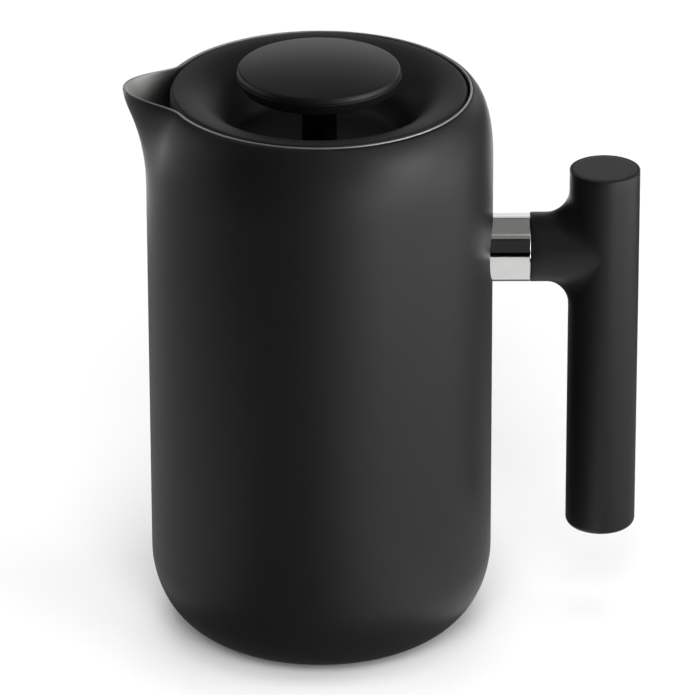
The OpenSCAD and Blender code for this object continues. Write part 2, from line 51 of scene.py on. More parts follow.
shell_lo, shell_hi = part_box("outer_shell")
liner_lo, liner_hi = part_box("inner_liner")
grip_lo, grip_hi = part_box("handle_grip")
cap_lo, cap_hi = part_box("grip_cap")
ferrule_lo, ferrule_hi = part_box("handle_ferrule")
knob_lo, knob_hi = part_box("knob_cap")
base_lo, base_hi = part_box("knob_base")
neck_lo, neck_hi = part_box("knob_neck")
spring_lo, spring_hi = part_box("filter_spring")
cover_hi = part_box("lid_cover")[1]
pad_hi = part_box("base_pad")[1]

RIM_Z = cover_hi.z
BODY_R = shell_hi.x
FOOT_Z = shell_lo.z
LINER_WALL = 0.7 * MM
LINER_OUT_R = liner_hi.x
LINER_R = LINER_OUT_R - LINER_WALL
# A hair short of the CAD, so that the lip stays inside its box
SPOUT_REACH = -liner_lo.x - LINER_OUT_R - 0.01 * MM
SPOUT_RISE = liner_hi.z - RIM_Z

# ---------------------------------------------------------------- mesh helpers


def finish_mesh(name, points, faces, angle, merge=1e-7):
    """Makes a mesh object with welded points and faces outwards, smooth below the given angle."""
    mesh = bpy.data.meshes.new(name)
    mesh.from_pydata([tuple(p) for p in points], [], faces)
    bm = bmesh.new()
    bm.from_mesh(mesh)
    bmesh.ops.remove_doubles(bm, verts=bm.verts, dist=merge)
    bmesh.ops.dissolve_degenerate(bm, dist=merge, edges=bm.edges)
    bmesh.ops.recalc_face_normals(bm, faces=bm.faces)
    for face in bm.faces:
        face.smooth = True
    for edge in bm.edges:
        edge.smooth = edge.calc_face_angle(0.0) < math.radians(angle)
    bm.to_mesh(mesh)
    bm.free()
    thing = bpy.data.objects.new(name, mesh)
    bpy.context.scene.collection.objects.link(thing)
    return thing


def grid_faces(cols, rows, wrap_cols, wrap_rows, start=0):
    """Quads of a grid whose point index is start + column * rows + row."""
    faces = []
    for c in range(cols if wrap_cols else cols - 1):
        here, there = start + c * rows, start + (c + 1) % cols * rows
        for r in range(rows if wrap_rows else rows - 1):
            s = (r + 1) % rows
            faces.append((here + r, here + s, there + s, there + r))
    return faces


def lathe(name, profile, steps, angle=50.0, closed=True, centre_x=0.0):
    """Turns a profile of (radius, height) about a vertical axis."""
    points = []
    for i in range(steps):
        a = 2 * math.pi * i / steps
        points += [(centre_x + r * math.cos(a), r * math.sin(a), z) for r, z in profile]
    return finish_mesh(name, points, grid_faces(steps, len(profile), True, closed), angle)


def arc(centre, rx, rz, start, end, steps):
    """Points of an elliptical arc in a profile; angles in degrees."""
    angles = [math.radians(start + (end - start) * i / steps) for i in range(steps + 1)]
    return [(centre[0] + rx * math.cos(a), centre[1] + rz * math.sin(a)) for a in angles]


def straight(a, b, steps):
    """Points of a straight run in a profile, after a and up to b."""
    return [tuple(p + (q - p) * i / steps for p, q in zip(a, b)) for i in range(1, steps + 1)]


def bezier(p, t):
    """Point of a cubic curve."""
    u = 1 - t
    weights = (u ** 3, 3 * u * u * t, 3 * u * t * t, t ** 3)
    return tuple(sum(w * q[k] for w, q in zip(weights, p)) for k in (0, 1))


# ---------------------------------------------------------------- materials


class Nodes:
    """Small helper that builds one procedural material."""

    def __init__(self, name):
        self.material = bpy.data.materials.new(name)
        self.material.use_nodes = True
        self.tree = self.material.node_tree
        self.shader = self.tree.nodes["Principled BSDF"]
        coords = self.tree.nodes.new("ShaderNodeTexCoord")
        self.place = coords.outputs["Object"]

    def set(self, **values):
        for key, value in values.items():
            self.shader.inputs[key.replace("_", " ")].default_value = value

    def link(self, a, b):
        self.tree.links.new(a, b)

    def stretched(self, scale):
        node = self.tree.nodes.new("ShaderNodeMapping")
        node.inputs["Scale"].default_value = scale
        self.link(self.place, node.inputs["Vector"])
        return node.outputs["Vector"]

    def noise(self, scale, detail=2.0, rough=0.5, vector=None):
        node = self.tree.nodes.new("ShaderNodeTexNoise")
        node.inputs["Scale"].default_value = scale
        node.inputs["Detail"].default_value = detail
        node.inputs["Roughness"].default_value = rough
        self.link(self.place if vector is None else vector, node.inputs["Vector"])
        return node.outputs["Fac"]

    def spread(self, value, low, high, value_from=0.25, value_to=0.75):
        """Maps a value, by default the usual range of a noise, onto low to high."""
        node = self.tree.nodes.new("ShaderNodeMapRange")
        node.inputs["From Min"].default_value = value_from
        node.inputs["From Max"].default_value = value_to
        node.inputs["To Min"].default_value = low
        node.inputs["To Max"].default_value = high
        self.link(value, node.inputs["Value"])
        return node.outputs["Result"]

    def mix(self, value, dark, light):
        """Colour between dark and light; sockets 6, 7 and 2 are the mix node's colours."""
        node = self.tree.nodes.new("ShaderNodeMix")
        node.data_type = "RGBA"
        node.inputs[6].default_value = (*dark, 1)
        node.inputs[7].default_value = (*light, 1)
        self.link(value, node.inputs[0])
        return node.outputs[2]

    def bump(self, height, strength, distance, below=None):
        node = self.tree.nodes.new("ShaderNodeBump")
        node.inputs["Strength"].default_value = strength
        node.inputs["Distance"].default_value = distance
        self.link(height, node.inputs["Height"])
        if below is not None:
            self.link(below, node.inputs["Normal"])
        return node.outputs["Normal"]

    def done(self, colour, roughness, normal):
        self.link(colour, self.shader.inputs["Base Color"])
        self.link(roughness, self.shader.inputs["Roughness"])
        self.link(normal, self.shader.inputs["Normal"])
        return self.material


def fine_matte(name, dark, light, rough, grain, depth):
    """Powder coat or textured plastic: fine grain, a slower waviness and a faint mottle."""
    rough_swing = 0.04
    slow_share = 1 / 14
    n = Nodes(name)
    small = n.noise(grain, detail=3.0, rough=0.6)
    slow = n.noise(grain * slow_share)
    n.set(Specular_IOR_Level=0.5)
    return n.done(
        n.mix(n.spread(slow, 0.0, 1.0), dark, light),
        n.spread(small, rough - rough_swing, rough + rough_swing),
        n.bump(small, 0.25, depth, n.bump(slow, 0.08, depth * 2)),
    )


def turned_metal(name, dark, light, rough, fine=9000.0):
    """Metal with fine lines around the vertical axis, as left by a lathe or a polishing wheel."""
    along, blotch_scale = 40.0, 90.0
    n = Nodes(name)
    lines = n.noise(1.0, detail=3.0, rough=0.65, vector=n.stretched((along, along, fine)))
    blotch = n.noise(blotch_scale)
    n.set(Metallic=1.0, Anisotropic=0.35)
    return n.done(
        n.mix(n.spread(blotch, 0.0, 1.0), dark, light),
        n.spread(lines, rough - 0.05, rough + 0.07),
        n.bump(lines, 0.15, 0.02 * MM),
    )


def plain_metal(name, dark, light, rough):
    """Polished or plated metal with a faint haze and hairlines across +X."""
    haze_scale, hair_scale = 220.0, (6000.0, 120.0, 120.0)
    n = Nodes(name)
    haze = n.noise(haze_scale, detail=3.0)
    hair = n.noise(1.0, rough=0.6, vector=n.stretched(hair_scale))
    n.set(Metallic=1.0)
    return n.done(
        n.mix(n.spread(haze, 0.0, 1.0), dark, light),
        n.spread(haze, rough * 0.8, rough * 1.3),
        n.bump(hair, 0.04, 0.01 * MM),
    )


def woven(name, dark, light, pitch=0.5 * MM):
    """Fine woven steel cloth: two crossed sets of wires, with painted shade in the open gaps
    between them.
    """
    # A wave node draws one band per 2 pi / 20 of a unit at scale 1
    scale = 2 * math.pi / pitch / 20
    n = Nodes(name)
    waves = []
    for direction in ("X", "Y"):
        node = n.tree.nodes.new("ShaderNodeTexWave")
        node.bands_direction = direction
        node.wave_profile = "SIN"
        node.inputs["Scale"].default_value = scale
        n.link(n.place, node.inputs["Vector"])
        waves.append(node.outputs["Fac"])
    cross = n.tree.nodes.new("ShaderNodeMath")
    cross.operation = "MAXIMUM"
    n.link(waves[0], cross.inputs[0])
    n.link(waves[1], cross.inputs[1])
    n.set(Metallic=1.0)
    # The dark colour, where neither set of wires runs, is painted shade standing in for the
    # cloth's open gaps
    return n.done(
        n.mix(cross.outputs[0], dark, light),
        n.spread(cross.outputs[0], 0.55, 0.3),
        n.bump(cross.outputs[0], 0.6, 0.12 * MM),
    )


COAT = fine_matte(
    "powder_coat", (0.021, 0.021, 0.0215), (0.024, 0.024, 0.0245),
    rough=0.46, grain=2600.0, depth=0.05 * MM,
)
LID = fine_matte(
    "lid_plastic", (0.033, 0.033, 0.033), (0.038, 0.038, 0.038),
    rough=0.55, grain=3400.0, depth=0.02 * MM,
)
KNOB = fine_matte(
    "knob_plastic", (0.017, 0.0165, 0.017), (0.02, 0.0195, 0.02),
    rough=0.45, grain=3400.0, depth=0.02 * MM,
)
GRIP = fine_matte(
    "grip_plastic", (0.016, 0.0155, 0.016), (0.019, 0.0185, 0.019),
    rough=0.45, grain=3000.0, depth=0.02 * MM,
)
GLOSS = fine_matte(
    "gloss_plastic", (0.004, 0.004, 0.004), (0.006, 0.006, 0.006),
    rough=0.16, grain=900.0, depth=0.004 * MM,
)
RUBBER = fine_matte(
    "silicone", (0.014, 0.014, 0.014), (0.02, 0.02, 0.02),
    rough=0.6, grain=1800.0, depth=0.03 * MM,
)
BRUSHED = turned_metal("brushed_steel", (0.56, 0.56, 0.545), (0.66, 0.66, 0.645), 0.3)
LINER = turned_metal("liner_steel", (0.7, 0.7, 0.68), (0.8, 0.8, 0.78), 0.52)
SHEET = turned_metal("sheet_steel", (0.5, 0.5, 0.49), (0.6, 0.6, 0.585), 0.36, fine=3000.0)
POLISHED = plain_metal("polished_steel", (0.74, 0.735, 0.725), (0.8, 0.795, 0.785), 0.07)
ZINC = plain_metal("zinc_plate", (0.42, 0.42, 0.41), (0.55, 0.55, 0.54), 0.32)
BRASS = plain_metal("turned_brass", (0.6, 0.42, 0.17), (0.72, 0.52, 0.23), 0.25)
# The cloth's dark colour is painted shade for the open gaps between its wires
CLOTH = woven("steel_cloth", (0.08, 0.08, 0.078), (0.62, 0.62, 0.6))


def dress(thing, material, body, slot, *nodes):
    """Gives a piece its material and body, and hides the CAD nodes that it stands for. The slot
    argument is not used.
    """
    thing.data.materials.clear()
    thing.data.materials.append(material)
    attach(thing, body)
    if nodes:
        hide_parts(*nodes)
    return thing


# ---------------------------------------------------------------- carafe

SHOULDER_H = 22 * MM
SHOULDER_ANGLE = math.radians(35.5)
SHOULDER_TOP_PULL = 6.6 * MM
SHOULDER_SIDE_PULL = 7.5 * MM
SHELL_WALL = 0.8 * MM
# The shell's small rounded lip: mm out from the liner and mm below the rim
SHELL_GAP = 0.05 * MM
SHELL_LIP = [(0.08, -0.30), (0.25, -0.27)]
SHELL_LIP_INSIDE = [1.0 * MM, 0.35 * MM]
CORNER_W = 18 * MM
CORNER_H = 24 * MM
FOOT_FLAT = 2 * MM
FOOT_EDGE = 0.3 * MM
LINER_CORNER = 6 * MM

# The spout: how wide it is around the body, and how far down the shell and the channel follow it
SPOUT_HALF_ANGLE = 25.0
SPOUT_DEPTH = 33 * MM
SPOUT_POWER = 3.1
SPOUT_LIFT_DEPTH = 6 * MM
CHANNEL_DEPTH = 20 * MM
CHANNEL_POWER = 1.3
CHANNEL_LIFT_DEPTH = 8 * MM

# Degrees around the body: even steps, and finer ones across the spout at 180
SPOUT_FROM = 150
BODY_ANGLES = [-SPOUT_FROM + 2.0 * i for i in range(150)]
BODY_ANGLES += [SPOUT_FROM + 0.75 * i for i in range(80)]


def spout_share(degrees):
    """Share of the spout's reach at an angle around the body: 1 at the tip, 0 away from it."""
    off = abs(180 - abs(degrees))
    if off >= SPOUT_HALF_ANGLE:
        return 0.0
    return math.cos(math.radians(90 * off / SPOUT_HALF_ANGLE)) ** 2


def fade(drop, depth, power):
    """Goes from 1 at the rim to 0 at the given depth below it."""
    return max(0.0, 1 - drop / depth) ** power


def shell_row(r, z):
    """Row of the shell's wall at a height relative to the rim."""
    reach = SPOUT_REACH * fade(-z, SPOUT_DEPTH, SPOUT_POWER)
    return (r, RIM_Z + z, reach, SPOUT_RISE * fade(-z, SPOUT_LIFT_DEPTH, 2))


def liner_row(r, z):
    """Row of the liner's wall at a height relative to the rim."""
    reach = SPOUT_REACH * fade(-z, CHANNEL_DEPTH, CHANNEL_POWER)
    return (r, RIM_Z + z, reach, SPOUT_RISE * fade(-z, CHANNEL_LIFT_DEPTH, 2))


def spouted(name, wall):
    """Turns a closed wall of (radius, height, spout reach, rim lift) about the body's axis."""
    points = []
    for degrees in BODY_ANGLES:
        share = spout_share(degrees)
        a = math.radians(degrees)
        for r, z, reach, lift in wall:
            full = r + reach * share
            points.append((full * math.cos(a), full * math.sin(a), z + lift * share))
    return finish_mesh(name, points, grid_faces(len(BODY_ANGLES), len(wall), True, True), 50)


def outer_shell():
    start_r = LINER_OUT_R + SHELL_GAP
    curve = [
        (start_r, 0.0),
        (
            start_r + SHOULDER_TOP_PULL * math.cos(SHOULDER_ANGLE),
            -SHOULDER_TOP_PULL * math.sin(SHOULDER_ANGLE),
        ),
        (BODY_R, SHOULDER_SIDE_PULL - SHOULDER_H),
        (BODY_R, -SHOULDER_H),
    ]
    steps = 36
    # The lip, the shoulder, and the straight part where the spout fades out
    upper = [(start_r + out * MM, down * MM) for out, down in SHELL_LIP]
    upper += [bezier(curve, i / steps) for i in range(2, steps + 1)]
    upper += straight(upper[-1], (BODY_R, -SPOUT_DEPTH), 8)
    corner_mid = (BODY_R - CORNER_W, FOOT_Z + CORNER_H)
    low_corner = arc(corner_mid, CORNER_W, CORNER_H, 0, -90, 28)
    side = straight((BODY_R, RIM_Z - SPOUT_DEPTH), low_corner[0], 16)[:-1]
    # The hole in the foot, then back up on the inside
    opening_r = BODY_R - CORNER_W - FOOT_FLAT
    foot = [(opening_r + FOOT_EDGE, FOOT_Z), (opening_r, FOOT_Z + FOOT_EDGE)]
    foot += [(opening_r, FOOT_Z + SHELL_WALL)]
    inner_corner = arc(corner_mid, CORNER_W - SHELL_WALL, CORNER_H - SHELL_WALL, -90, 0, 14)
    inside = [(r - SHELL_WALL, z) for r, z in upper[::-3] if -z > 1.5 * SHELL_WALL]
    inside += [(start_r, -drop) for drop in SHELL_LIP_INSIDE]

    wall = [shell_row(r, z) for r, z in upper]
    wall += [(r, z, 0.0, 0.0) for r, z in side + low_corner + foot + inner_corner]
    wall += [shell_row(r, z) for r, z in inside]
    return dress(spouted("shell", wall), COAT, "carafe", "black_coated_steel", "outer_shell")


def inner_liner():
    steps = 30
    half = LINER_WALL / 2
    drops = [CHANNEL_DEPTH * i / steps for i in range(1, steps + 1)]
    corner_mid = (LINER_OUT_R - LINER_CORNER, liner_lo.z + LINER_CORNER)
    corner_in = LINER_CORNER - LINER_WALL
    inner_low = arc(corner_mid, corner_in, corner_in, -90, 0, 10)
    outer_low = arc(corner_mid, LINER_CORNER, LINER_CORNER, 0, -90, 10)
    # The edge of the steel is rolled over its own thickness
    edge = arc((LINER_R + half, -half), half, half, 180, 0, 8)

    wall = [(r, z, 0, 0) for r, z in inner_low]
    wall += [liner_row(LINER_R, -drop) for drop in reversed(drops)]
    wall += [liner_row(r, z) for r, z in edge]
    wall += [liner_row(LINER_OUT_R, -drop) for drop in drops]
    wall += [(r, z, 0, 0) for r, z in outer_low]
    return dress(spouted("liner", wall), LINER, "carafe", "brushed_steel", "inner_liner")


def base_pad():
    r, top = pad_hi.x, pad_hi.z
    chamfer, edge = 0.3 * MM, 0.35 * MM
    groove_insets = (5 * MM, 9 * MM)
    groove_w, groove_h, groove_lean = 1.2 * MM, 0.4 * MM, 0.2 * MM
    # A rounded rim and two shallow grooves on the underside
    profile = [(0.0, top), (r - chamfer, top), (r, top - chamfer)]
    profile += arc((r - edge, edge), edge, edge, 0, -90, 5)
    for inset in groove_insets:
        outer, inner = r - inset, r - inset - groove_w
        profile += [(outer, 0.0), (outer - groove_lean, groove_h)]
        profile += [(inner + groove_lean, groove_h), (inner, 0.0)]
    profile += [(0.0, 0.0)]
    return dress(lathe("pad", profile, 160, 40), RUBBER, "carafe", "black_rubber", "base_pad")


# ---------------------------------------------------------------- handle

STUB_Z = (ferrule_lo.z + ferrule_hi.z) / 2
FERRULE_R = (ferrule_hi.z - ferrule_lo.z) / 2
FERRULE_WALL = 1.6 * MM
FERRULE_EDGE = 0.25 * MM
FERRULE_GAP = 0.02 * MM
GRIP_X = (cap_lo.x + cap_hi.x) / 2
GRIP_R = grip_hi.x - GRIP_X
GRIP_FOOT_EDGE = 2 * MM
GRIP_TOP_EDGE = 0.35 * MM
STUB_R = GRIP_R - 0.1 * MM
STUB_EDGE = 0.3 * MM
FILLET = 8 * MM
CAP_R = (cap_hi.x - cap_lo.x) / 2
CAP_GAP = 0.05 * MM
CAP_RECESS = 2.2 * MM
CAP_EDGE = 0.18 * MM
CAP_UNDER_Z = cap_lo.z + 3.1 * MM


def ferrule():
    end = ferrule_hi.x
    straight_end = end - FERRULE_EDGE
    inner_r = FERRULE_R - FERRULE_WALL
    edge_mid = (straight_end, FERRULE_R - FERRULE_EDGE)
    # Rows along the side; the last but one keeps the rounded edge from bending its reflections
    shares = (0, 0.25, 0.5, 0.75, 0.9, 0.985, 1)
    profile = [(None, FERRULE_R)] * len(shares)
    profile += arc(edge_mid, FERRULE_EDGE, FERRULE_EDGE, 90, 0, 5)
    profile += [(end, inner_r), (None, inner_r)]
    steps = 160
    points = []
    for i in range(steps):
        a = 2 * math.pi * i / steps
        for k, (x, radius) in enumerate(profile):
            y = radius * math.cos(a)
            # The end that meets the body follows its round side
            if x is None:
                body_x = math.sqrt(BODY_R ** 2 - y * y) + FERRULE_GAP
                share = shares[k] if k < len(shares) else 0
                x = body_x + (straight_end - body_x) * share
            points.append((x, y, STUB_Z + radius * math.sin(a)))
    thing = finish_mesh("ferrule", points, grid_faces(steps, len(profile), True, True), 50)
    return dress(thing, POLISHED, "carafe", "polished_steel", "handle_ferrule")


def fillet_rows(lean, side, length):
    """Section of the fillet at one angle around the stub, as a ball rolled in the corner
    leaves it, then along the stub to its end. Measured from the grip's axis."""
    fillet_steps, stub_steps, edge_steps = 20, 4, 3
    to_stub_axis = STUB_R + FILLET
    to_grip_axis = GRIP_R + FILLET
    cy = to_stub_axis * math.sin(lean)
    cz = side * to_stub_axis * math.cos(lean)
    cx = -math.sqrt(to_grip_axis ** 2 - cy * cy)
    centre = Vector((cx, cy, cz))
    to_grip = -Vector((cx, cy, 0)) / to_grip_axis
    to_stub = -Vector((0, cy, cz)) / to_stub_axis
    turn = to_grip.angle(to_stub)
    rows = []
    for i in range(fillet_steps + 1):
        s = i / fillet_steps
        mixed = math.sin((1 - s) * turn) * to_grip + math.sin(s * turn) * to_stub
        rows.append(centre + FILLET * mixed / math.sin(turn))
    touch = rows[-1].copy()
    for i in range(1, stub_steps + 1):
        rows.append(Vector((touch.x + (-length - touch.x) * i / stub_steps, touch.y, touch.z)))
    # A small rounded edge at the stub's end, then in towards its middle
    axis_out = Vector((0, touch.y, touch.z)) / STUB_R
    rows[-1].x = -length + STUB_EDGE
    for i in range(1, edge_steps + 1):
        a = math.radians(90 * i / edge_steps)
        end = Vector((-length + STUB_EDGE * (1 - math.sin(a)), 0, 0))
        rows.append(end + axis_out * (STUB_R - STUB_EDGE * (1 - math.cos(a))))
    return rows


def grip():
    length = GRIP_X - grip_lo.x
    top = grip_hi.z - STUB_Z
    bottom = grip_lo.z - STUB_Z
    recess_r = CAP_R + CAP_GAP
    front_steps, back_steps = 64, 56
    upper_steps, lower_steps = 6, 16

    def outwards(direction, rows):
        return [Vector((direction[0] * r, direction[1] * r, z)) for r, z in rows]

    def head_rows(direction):
        """Recess wall for the cap, then the rounded top edge."""
        rows = [(recess_r, top - CAP_RECESS), (recess_r, top - 0.15 * MM)]
        rows += [(recess_r + 0.12 * MM, top)]
        edge_mid = (GRIP_R - GRIP_TOP_EDGE, top - GRIP_TOP_EDGE)
        rows += arc(edge_mid, GRIP_TOP_EDGE, GRIP_TOP_EDGE, 90, 0, 5)
        return outwards(direction, rows)

    def foot_rows(direction):
        edge_mid = (GRIP_R - GRIP_FOOT_EDGE, bottom + GRIP_FOOT_EDGE)
        rows = arc(edge_mid, GRIP_FOOT_EDGE, GRIP_FOOT_EDGE, 0, -90, 10)
        return outwards(direction, rows + [(GRIP_R * 0.4, bottom)])

    def between(a, b, count):
        return [a.lerp(b, i / count) for i in range(1, count)]

    def column(direction, waist):
        """Top to bottom at one direction, with the given rows where the stub joins."""
        head, foot = head_rows(direction), foot_rows(direction)
        rows = head + between(head[-1], waist[0], upper_steps) + waist
        return rows + between(waist[-1], foot[0], lower_steps) + foot

    front = []
    for k in range(front_steps + 1):
        lean = math.radians(-90 + 180 * k / front_steps)
        upper = fillet_rows(lean, 1, length)
        lower = fillet_rows(lean, -1, length)[::-1]
        front.append(column((upper[0].x / GRIP_R, upper[0].y / GRIP_R), upper + lower))
    # Behind the fillet the grip is round, from one side of it to the other
    side = fillet_rows(math.radians(90), 1, length)[0]
    edge_angle = math.atan2(side.y, side.x)
    back = []
    for k in range(back_steps + 1):
        a = edge_angle * (1 - 2 * k / back_steps)
        if k in (0, back_steps):
            direction = (side.x / GRIP_R, (side.y if k == 0 else -side.y) / GRIP_R)
        else:
            direction = (math.cos(a), math.sin(a))
        waist = [Vector((direction[0] * GRIP_R, direction[1] * GRIP_R, 0))]
        back.append(column(direction, waist))
    points = [p for rows in front + back for p in rows]
    front_rows, back_rows = len(front[0]), len(back[0])
    split = len(front) * front_rows
    faces = grid_faces(len(front), front_rows, False, False)
    faces += grid_faces(len(back), back_rows, False, False, split)
    # One flat face closes the recess and one the foot
    inner_back = range(1, len(back) - 1)
    top_ring = [c * front_rows for c in range(len(front))]
    top_ring += [split + c * back_rows for c in inner_back]
    foot_ring = [c * front_rows + front_rows - 1 for c in range(len(front))]
    foot_ring += [split + c * back_rows + back_rows - 1 for c in inner_back]
    faces += [top_ring, foot_ring[::-1]]
    placed = [(p.x + GRIP_X, p.y, p.z + STUB_Z) for p in points]
    thing = finish_mesh("grip", placed, faces, 50, merge=2e-6)
    return dress(thing, GRIP, "carafe", "black_grip_plastic", "handle_grip")


def grip_cap():
    top = cap_hi.z
    rings = 6
    profile = [(0.0, CAP_UNDER_Z), (CAP_R, CAP_UNDER_Z)]
    profile += arc((CAP_R - CAP_EDGE, top - CAP_EDGE), CAP_EDGE, CAP_EDGE, 0, 90, 4)
    profile += [(CAP_R * k / rings, top) for k in range(rings - 1, -1, -1)]
    thing = lathe("grip_end_cap", profile, 144, 40, centre_x=GRIP_X)
    return dress(thing, GRIP, "carafe", "black_grip_plastic", "grip_cap")


# ---------------------------------------------------------------- lid

LID_R = cover_hi.x
LID_T = 1.8 * MM
CREST_R = LID_R - 1.2 * MM
EDGE_DROP = 2.2 * MM
MOUTH_R = 16 * MM
MOUTH_SWEEP = 75.0
DISH_Z = RIM_Z - 16.5 * MM
DISH_RUN = 5.5 * MM
DISH_TOP_PULL = 2.6 * MM
DISH_FLOOR_PULL = 1.6 * MM
LID_HOLE_R = 5.02 * MM
LID_SKIRT_H = 7 * MM
SKIRT_EDGE = 0.2 * MM


def lid_cover():
    mouth = (CREST_R, RIM_Z - MOUTH_R)
    slope = math.radians(MOUTH_SWEEP)
    under_z = DISH_Z - LID_T
    # Outer edge, the mouth's long roll, the curve into the dish's floor, the floor
    edge = arc((CREST_R, RIM_Z - EDGE_DROP), LID_R - CREST_R, EDGE_DROP, 0, 90, 14)
    roll = arc(mouth, MOUTH_R, MOUTH_R, 90, 90 + MOUTH_SWEEP, 40)[1:]
    end_r, end_z = roll[-1]
    floor_r = end_r - DISH_RUN
    bowl = [
        (end_r, end_z),
        (end_r - DISH_TOP_PULL * math.cos(slope), end_z - DISH_TOP_PULL * math.sin(slope)),
        (end_r - DISH_FLOOR_PULL, DISH_Z),
        (floor_r, DISH_Z),
    ]
    top = edge + roll + [bezier(bowl, i / 14) for i in range(1, 15)]
    top += straight((floor_r, DISH_Z), (LID_HOLE_R, DISH_Z), 8)
    # The underside keeps the wall's thickness, out to a short skirt
    inner = MOUTH_R - LID_T
    under = [(LID_HOLE_R, under_z), (floor_r - 0.8 * MM, under_z)]
    under += [(mouth[0] - inner * math.sin(slope) - 1 * MM, DISH_Z - 0.4 * MM)]
    first = math.degrees(math.asin((CREST_R - (LID_R - LID_T)) / inner))
    under += arc(mouth, inner, inner, 90 + MOUTH_SWEEP, 90 + first, 24)
    foot_z = RIM_Z - LID_SKIRT_H
    under += [(LID_R - LID_T, foot_z), (LID_R - SKIRT_EDGE, foot_z), (LID_R, foot_z + SKIRT_EDGE)]
    return dress(lathe("cover", top + under, 256), LID, "lid", "black_lid_plastic", "lid_cover")


# ---------------------------------------------------------------- plunger

KNOB_R = base_hi.x
KNOB_Z = knob_hi.z
KNOB_UNDER_Z = base_lo.z
KNOB_EDGE_Z = base_hi.z + 0.05 * MM
KNOB_DOME = 2.4 * MM
KNOB_SHOULDER_W = 1.0 * MM
KNOB_SHOULDER_H = 1.85 * MM
KNOB_LIP = 0.6 * MM
KNOB_STEP = 0.1 * MM
KNOB_EDGE_FLAT = 0.06 * MM
KNOB_BOSS_R = 8 * MM
INSERT_R = 4.05 * MM
INSERT_TOP_DROP = 1.15 * MM
KNOB_FLOOR_T = 1.55 * MM
KNOB_HUB_R = 5.2 * MM
KNOB_SIDE_W = 6 * MM
KNOB_SIDE_H = 2.2 * MM
KNOB_SIDE_LEAN = 1.1 * MM
KNOB_BEAD = 0.26 * MM
NECK_HOLE_R = 2.9 * MM
NECK_CHAMFER = 0.2 * MM
NECK_EDGE = 0.35 * MM
NECK_FLARE = 1.1 * MM
NECK_FLARE_DROP = 1.5 * MM
SPRING_WIRE = 0.28 * MM


def knob_cap():
    cap_r = KNOB_R - KNOB_STEP
    # The dome runs into the shoulder's ellipse where both have the same slope
    join = math.atan(KNOB_SHOULDER_H * KNOB_R / (2 * KNOB_DOME * KNOB_SHOULDER_W))
    dome_r = cap_r - KNOB_SHOULDER_W * (1 - math.cos(join))
    join_z = KNOB_EDGE_Z + KNOB_SHOULDER_H * math.sin(join)
    rise = KNOB_Z - join_z
    rings = 24
    profile = [
        (dome_r * i / rings, join_z + rise * (1 - (i / rings) ** 2)) for i in range(rings)
    ]
    shoulder_mid = (cap_r - KNOB_SHOULDER_W, KNOB_EDGE_Z + KNOB_EDGE_FLAT)
    shoulder_h = KNOB_SHOULDER_H - KNOB_EDGE_FLAT
    profile += arc(shoulder_mid, KNOB_SHOULDER_W, shoulder_h, math.degrees(join), 0, 22)
    # The underside, with a boss around the pocket for the brass insert
    low = KNOB_EDGE_Z - KNOB_LIP
    pocket_z = KNOB_EDGE_Z - INSERT_TOP_DROP
    profile += [(cap_r - KNOB_EDGE_FLAT, KNOB_EDGE_Z), (KNOB_R - 2 * KNOB_LIP, KNOB_EDGE_Z)]
    profile += [(KNOB_R - 4 * KNOB_LIP, low), (KNOB_BOSS_R, low), (KNOB_BOSS_R, knob_lo.z)]
    profile += [(INSERT_R, knob_lo.z), (INSERT_R, pocket_z), (0.0, pocket_z)]
    thing = lathe("knob_top", profile, 224, closed=False)
    return dress(thing, KNOB, "plunger", "black_knob_plastic", "knob_cap")


def knob_base():
    top = base_hi.z
    floor_z = KNOB_UNDER_Z + KNOB_FLOOR_T
    under_r = KNOB_R - KNOB_SIDE_W
    side_mid = (under_r, KNOB_UNDER_Z + KNOB_SIDE_H)
    profile = [(KNOB_HUB_R, KNOB_UNDER_Z), (under_r, KNOB_UNDER_Z)]
    profile += arc(side_mid, KNOB_SIDE_W - KNOB_SIDE_LEAN, KNOB_SIDE_H, -80, -10, 14)
    # A small round bead catches the light all around the knob's widest line
    bead = arc((KNOB_R - KNOB_BEAD, top - KNOB_BEAD), KNOB_BEAD, KNOB_BEAD, -15, 90, 7)
    profile += straight(profile[-1], bead[0], 6)[:-1] + bead
    profile += [(KNOB_R - 2 * KNOB_LIP, top), (KNOB_R - 5 * KNOB_LIP, floor_z)]
    profile += [(KNOB_HUB_R, floor_z)]
    thing = lathe("knob_underside", profile, 224)
    return dress(thing, KNOB, "plunger", "black_knob_plastic", "knob_base")


def knob_neck():
    r, low = neck_hi.x, neck_lo.z
    top = KNOB_UNDER_Z + 0.4 * MM
    flare_z = top - NECK_FLARE_DROP
    profile = [(NECK_HOLE_R, low + NECK_CHAMFER), (NECK_HOLE_R + NECK_CHAMFER, low)]
    profile += arc((r - NECK_EDGE, low + NECK_EDGE), NECK_EDGE, NECK_EDGE, -90, 0, 5)
    profile += straight((r, low), (r, flare_z), 6)
    profile += arc((r + NECK_FLARE, flare_z), NECK_FLARE, NECK_FLARE, 180, 90, 6)[1:]
    profile += [(r + NECK_FLARE, top), (NECK_HOLE_R, top)]
    thing = lathe("neck", profile, 96)
    return dress(thing, GLOSS, "plunger", "gloss_black_plastic", "knob_neck")


